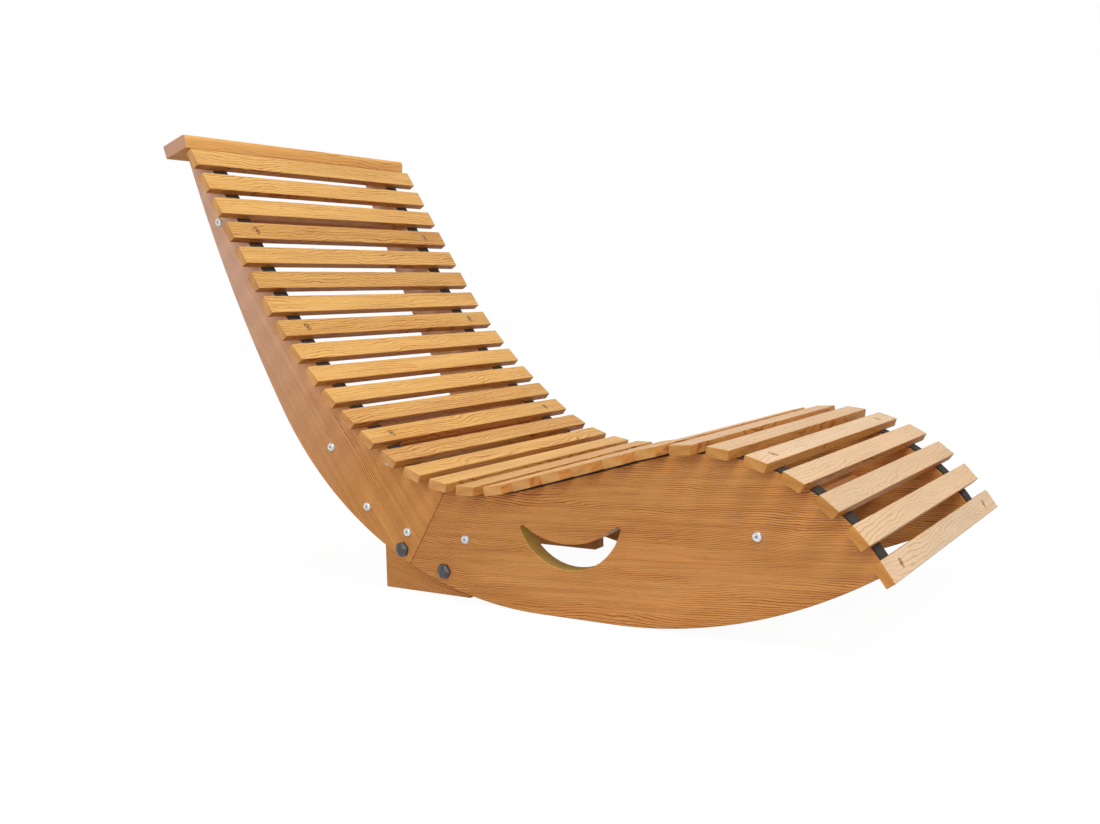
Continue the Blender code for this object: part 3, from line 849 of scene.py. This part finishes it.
def trimmed(node, name):
    """A CAD outline with its chamfered rim made round, and its corners and its hand hole's rim as well.

    The rims of the bolt bores stay as they are, because the heads cover them. Returns the object, its worn
    points and its low and high corner.
    """
    shape = merged_copy(node)
    chamfer = {f for f in shape.faces if CHAMFER_LEAN[0] < abs(f.normal.y) < CHAMFER_LEAN[1]}
    around = [e for e in shape.edges if chamfer.intersection(e.link_faces)]
    slopes = [e for e in around if abs(e.verts[0].co.y - e.verts[1].co.y) > CHAMFER_RUN]
    cut = bmesh.ops.subdivide_edges(shape, edges=slopes, cuts=1)
    ridge = [v for v in cut["geom_inner"] if isinstance(v, bmesh.types.BMVert)]
    shape.normal_update()
    for v in ridge:
        v.co += v.normal * CHAMFER_BULGE
    sharp = [(e, [v.co for v in e.verts]) for e in sharp_edges(shape)]
    corners = [e for e, (a, b) in sharp if abs(a.y - b.y) > CORNER_LEAST or by_hand_hole(node, (a, b)).all()]
    touched = ridge + rounded(shape, corners, CORNER_ROUNDING, CORNER_STEPS)
    clean(shape)
    worn_places = {v.co[:] for v in touched if v.is_valid}
    put_in_order(shape.verts, lambda v: v.co[:])
    put_in_order(shape.faces, lambda f: f.calc_center_median()[:])
    made, wear_and_shade = from_shape(name, shape, [v for v in shape.verts if v.co[:] in worn_places])
    rows = points_of(made.data)
    return made, wear_and_shade, rows.min(axis=0), rows.max(axis=0)


# Headrest board. Its board has next to no thickness, so that no face of it counts as an edge face, which
# would get painted shade.
HEADREST_SEED = 51
NO_THICKNESS = 0.000001

headrest, wear_and_shade, low, high = trimmed("headrest_board", "headrest")
headrest_half = (high[1], 1.0, NO_THICKNESS)
grain(headrest, [Board((low + high) / 2, ACROSS, (1, 0, 0), headrest_half, HEADREST_SEED)], wear_and_shade)
dress_timber(headrest, HEAD_WOOD, "slat_wood", "headrest_board")


# Side planks, stop blocks and joint plates
def side_piece(node, lean, look, slot, seed, tone=0.0, pale=0.0, pale_slope=0.0):
    """One piece of a side, with its grain at a lean in degrees. It shows no end grain."""
    made, wear_and_shade, low, high = trimmed(node, node + "_piece")
    lean = math.radians(lean)
    along = (math.cos(lean), 0.0, math.sin(lean))
    half = (1.0, 1.0, (high[1] - low[1]) / 2)
    hollow = by_hand_hole(node, points_of(made.data)).astype(float)
    grain(made, [Board((low + high) / 2, along, (0, -1, 0), half, seed, tone, pale, pale_slope)], wear_and_shade, hollow)
    dress_timber(made, look, slot, node)


for number, side in enumerate(SIDES):
    side_piece(f"{side}_seat_plank", 3, PLANK_WOOD, "plank_wood", seed=71 + number)
    # The back planks are lighter and paler toward their top
    side_piece(f"{side}_back_plank", -54, PLANK_WOOD, "plank_wood", seed=73 + number,
               tone=0.45, pale=0.52, pale_slope=-2.1)
    # The stop blocks are lighter by painted light
    side_piece(f"{side}_stop_block", -14, PLANK_WOOD, "plank_wood", seed=75 + number, tone=0.4)
    side_piece(f"{side}_joint_plate", -20, INNER_WOOD, "inner_wood", seed=77 + number)

# Straps along the planks' upper edges
STRAP_STEP = 0.006


def strap_path(node):
    """Middle line of a strap from the head end, its width and its thickness, read from its CAD node."""
    rows = points_of(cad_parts[node].data)
    flat = np.unique(np.round(rows[:, [0, 2]], 5), axis=0)
    gaps = np.linalg.norm(flat[:, None] - flat[None], axis=2)
    np.fill_diagonal(gaps, np.inf)
    mids = np.unique(np.round((flat + flat[gaps.argmin(axis=1)]) / 2, 5), axis=0)
    line = [mids[mids[:, 1].argmax()]]
    left = [m for m in mids if not np.array_equal(m, line[0])]
    while left:
        nearest = min(range(len(left)), key=lambda i: np.linalg.norm(left[i] - line[-1]))
        line.append(left.pop(nearest))
    low, high = rows[:, 1].min(), rows[:, 1].max()
    return [(x, (low + high) / 2, z) for x, z in line], high - low, gaps.min()


straps = strap_maker()
for side in SIDES:
    line, strap_width, strap_thickness = strap_path(f"{side}_strap")
    mesh = bpy.data.meshes.new("strap_path")
    mesh.from_pydata(line, [(i, i + 1) for i in range(len(line) - 1)], [])
    strap = straps.run(f"{side}_webbing", link("strap_path", mesh), Width=strap_width,
                       Thickness=strap_thickness, Step=STRAP_STEP, Finish=WEBBING)
    smooth(strap)
    dress(strap, "webbing", f"{side}_strap")

# Cap bolts and hex bolts on the planks' outer faces
CAP_NAMES = ("upper_rail", "lower_rail", "front_rail", "plate_back", "plate_mid", "plate_seat")
CAP_SIZE = {"Radius": 0.0078, "Height": 0.0048, "Roll": 1.0, "Seed": 7}
CAP_OUTLINE = [(0.36, 0.92), (0.52, 0.92), (0.56, 1.0), (0.74, 0.97), (0.87, 0.82), (0.96, 0.54), (1.0, 0.22),
               (1.0, 0.0), (0.9, -0.05)]
HEX_NAMES = ("rear_block", "front_block")
HEX_SIZE = {"Radius": 0.0130, "Height": 0.0085, "Roll": 0.5, "Seed": 9}
HEX_OUTLINE = [(0.22, 1.0), (0.44, 0.98), (0.50, 0.96), (0.90, 0.66), (0.97, 0.58), (1.0, 0.50), (1.0, 0.08),
               (0.96, 0.0)]


def bolt_places(label, names, more=()):
    """Places of bolts on both outer faces, each turned so that the head points away from the lounger.

    The bolts' middles are read from their CAD nodes. more are further places in X and Z, for both sides.
    """
    rows, turns = [], []
    for side in SIDES:
        low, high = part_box(f"{side}_seat_plank")
        face, turn = (low[1], QUARTER_TURN) if side == "right" else (high[1], -QUARTER_TURN)
        boxes = [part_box(f"{side}_{name}_bolt") for name in names]
        middles = [((a[0] + b[0]) / 2, (a[2] + b[2]) / 2) for a, b in boxes]
        for x, z in [*middles, *more]:
            rows.append((x, face, z))
            turns.append((turn, 0.0, 0.0))
    return marked_places(label, rows, turns)


cap_pattern = head_pattern("cap_pattern", CAP_OUTLINE, ROUND_STEPS, socket=(6, 0.30), depth=0.22)
hex_pattern = head_pattern("hex_pattern", HEX_OUTLINE, HEX_STEPS, sides=6, sharp=28.0)
caps = fasteners.run("cap_bolts", bolt_places("cap_places", CAP_NAMES, [PLATE_TOP]),
                     Pattern=cap_pattern, Finish=SILVER, **CAP_SIZE)
dress(caps, "silver", *[f"{side}_{name}_bolt" for side in SIDES for name in CAP_NAMES])
hexes = fasteners.run("hex_bolts", bolt_places("hex_places", HEX_NAMES),
                      Pattern=hex_pattern, Finish=BLACK_STEEL, **HEX_SIZE)
dress(hexes, "black_steel", *[f"{side}_{name}_bolt" for side in SIDES for name in HEX_NAMES])

for pattern in (hole_pattern, screw_pattern, cap_pattern, hex_pattern):
    bpy.data.objects.remove(pattern)

# Floor, light and camera
WHITE = (1.0, 1.0, 1.0, 1.0)
FLOOR_HALF = 60
FLOOR_GREY = (0.36, 0.36, 0.36, 1.0)
FLOOR_GLOW = 1.26
FLOOR_GLOW_SHARE = 0.75
SOFT_LIGHT = 0.54
AIM = (0.0, 0.0, 0.3)


def seen_directly(net):
    """1 for rays from the camera, from a mirror image or through glass, and 0 for scattered light."""
    rays = net.node("ShaderNodeLightPath", {}, {}).socket.node.outputs
    kinds = ("Is Camera Ray", "Is Glossy Ray", "Is Transmission Ray")
    camera, glossy, through = [Value(net, rays[kind]) for kind in kinds]
    return camera.larger(glossy).larger(through)


def floor_look():
    """Pale floor that reads as white and still takes the lounger's shadow."""
    material = bpy.data.materials.new("floor")
    material.use_nodes = True
    net = Net(material.node_tree)
    net.tree.nodes.clear()
    share = seen_directly(net) * FLOOR_GLOW_SHARE
    paint = net.node("ShaderNodeBsdfDiffuse", {}, {"Color": FLOOR_GREY})
    glow = net.node("ShaderNodeEmission", {}, {"Color": WHITE, "Strength": FLOOR_GLOW})
    both = net.node("ShaderNodeMixShader", {}, {0: share, 1: paint, 2: glow})
    net.node("ShaderNodeOutputMaterial", {}, {"Surface": both})
    return material


def studio():
    """White surroundings that light the lounger less strongly than they look."""
    world = bpy.data.worlds.new("studio")
    world.use_nodes = True
    net = Net(world.node_tree)
    net.tree.nodes.clear()
    soft = net.node("ShaderNodeBackground", {}, {"Color": WHITE, "Strength": SOFT_LIGHT})
    white = net.node("ShaderNodeBackground", {}, {"Color": WHITE, "Strength": 1.0})
    both = net.node("ShaderNodeMixShader", {}, {0: seen_directly(net), 1: soft, 2: white})
    net.node("ShaderNodeOutputWorld", {}, {"Surface": both})
    return world


def lamp(name, place, size, power):
    """A round soft lamp that shines at the lounger."""
    data = bpy.data.lights.new(name, "AREA")
    data.shape = "DISK"
    data.size = size
    data.energy = power
    made = bpy.data.objects.new(name, data)
    made.location = place
    made.rotation_euler = (Vector(AIM) - Vector(place)).to_track_quat("-Z", "Y").to_euler()
    bpy.context.scene.collection.objects.link(made)


floor_corners = [(x * FLOOR_HALF, y * FLOOR_HALF, 0) for x, y in ((-1, -1), (1, -1), (1, 1), (-1, 1))]
floor_mesh = bpy.data.meshes.new("floor")
floor_mesh.from_pydata(floor_corners, [], [(0, 1, 2, 3)])
floor_mesh.materials.append(floor_look())
link("floor", floor_mesh)
bpy.context.scene.world = studio()
lamp("key", place=(1.9, -0.9, 2.9), size=1.3, power=62.0)
lamp("fill", place=(0.9, -3.4, 1.3), size=1.8, power=37.0)

# The camera was fitted to the photo
lens = bpy.data.cameras.new("camera")
lens.sensor_width = 36.0
lens.lens = 39.25
camera = bpy.data.objects.new("camera", lens)
camera.location = (1.06825, -1.77421, 0.49158)
camera.rotation_euler = [math.radians(a) for a in (84.3524, 1.2736, 31.8967)]
bpy.context.scene.collection.objects.link(camera)
bpy.context.scene.camera = camera
bpy.context.scene.view_settings.view_transform = "Standard"
